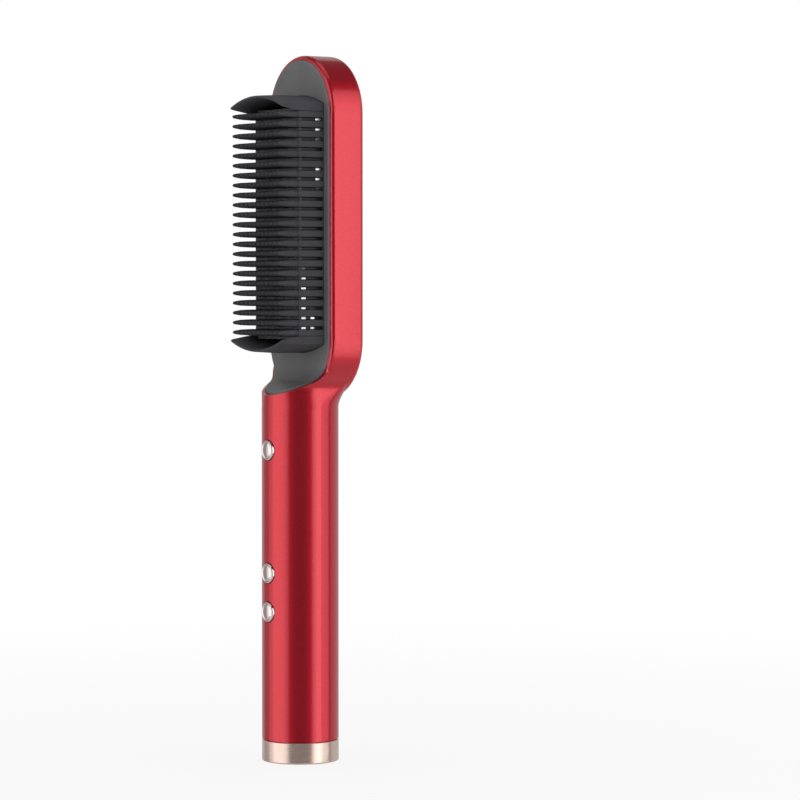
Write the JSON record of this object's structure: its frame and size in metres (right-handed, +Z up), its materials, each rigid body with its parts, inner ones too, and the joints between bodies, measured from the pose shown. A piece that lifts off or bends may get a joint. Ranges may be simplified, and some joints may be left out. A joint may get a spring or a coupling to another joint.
{
  "type": "hair straightener",
  "caption": "Heated straightening comb with a round handle, oval head, guarded metal fins between comb rows, push buttons and a swivel cord entry.",
  "frame": {"origin": "centre of the base ring's bottom face, on the handle's axis", "axes": "+Z up along the handle towards the head, -Y the way the comb's teeth point, +Y the way the back panel faces, X across the head"},
  "size_m": [0.046, 0.0355, 0.275],
  "materials": {
    "red_lacquer": "satin metallic lacquer",
    "grey_plastic": "satin",
    "comb_plastic": "satin",
    "rose_gold": "polished rose-gold anodised",
    "red_panel": "satin metallic lacquer",
    "bare_aluminium": "milled",
    "heater_ceramic": "unglazed ceramic",
    "mica": "sheet mica",
    "zinc_steel": "zinc plated",
    "sensor_glass": "epoxy coated",
    "fuse_metal": "satin",
    "silicone_wire": "silicone",
    "circuit_green": "solder mask",
    "black_nylon": "moulded",
    "button_chrome": "polished pinkish chrome",
    "clear_plastic": "clear",
    "led_amber": "diffused",
    "capacitor_yellow": "coated",
    "capacitor_blue": "sleeved",
    "absorber_blue": "coated",
    "fuse_brown": "moulded",
    "copper_alloy": "bright"
  },
  "bodies": {
    "housing": {"body_shell": "red_lacquer", "face_frame": "grey_plastic", "back_bezel": "rose_gold", "back_panel": "red_panel", "comb_guard": "comb_plastic", "heating_plate": "bare_aluminium", "heater_lower": "heater_ceramic", "heater_upper": "heater_ceramic", "insulation_sheet": "mica", "clamp_plate": "zinc_steel", "temperature_sensor": "sensor_glass", "thermal_fuse": "fuse_metal", "clamp_screws": "zinc_steel", "head_screws": "zinc_steel", "heater_leads": "silicone_wire", "sensor_leads": "silicone_wire", "circuit_board": "circuit_green", "board_carrier": "black_nylon", "board_screws": "zinc_steel", "power_switch": "black_nylon", "plus_switch": "black_nylon", "minus_switch": "black_nylon", "indicator_leds": "led_amber", "light_guide": "clear_plastic", "control_chip": "black_nylon", "heater_triac": "black_nylon", "dropper_capacitor": "capacitor_yellow", "smoothing_capacitor": "capacitor_blue", "surge_absorber": "absorber_blue", "mains_fuse": "fuse_brown", "mains_leads": "silicone_wire", "base_ring": "rose_gold", "tail_plug": "black_nylon", "tail_screws": "zinc_steel", "contact_leaves": "copper_alloy", "contact_carrier": "black_nylon"},
    "power_press": {"power_button": "button_chrome", "power_plunger": "black_nylon"},
    "plus_press": {"plus_button": "button_chrome", "plus_plunger": "black_nylon"},
    "minus_press": {"minus_button": "button_chrome", "minus_plunger": "black_nylon"},
    "cord_swivel": {"swivel_gland": "black_nylon", "slip_rings": "copper_alloy"}
  },
  "joints": [
    {"name": "power_press_slide", "type": "slide", "parent": "housing", "child": "power_press", "axis": [0, 1, 0], "range_m": [0, 0.0005], "stiffness_N_per_m": 2500},
    {"name": "plus_press_slide", "type": "slide", "parent": "housing", "child": "plus_press", "axis": [0, 1, 0], "range_m": [0, 0.0005], "stiffness_N_per_m": 2500},
    {"name": "minus_press_slide", "type": "slide", "parent": "housing", "child": "minus_press", "axis": [0, 1, 0], "range_m": [0, 0.0005], "stiffness_N_per_m": 2500},
    {"name": "cord_swivel_turn", "type": "hinge", "parent": "housing", "child": "cord_swivel", "pos_m": [0, 0, 0.007], "axis": [0, 0, 1], "continuous": true}
  ]
}
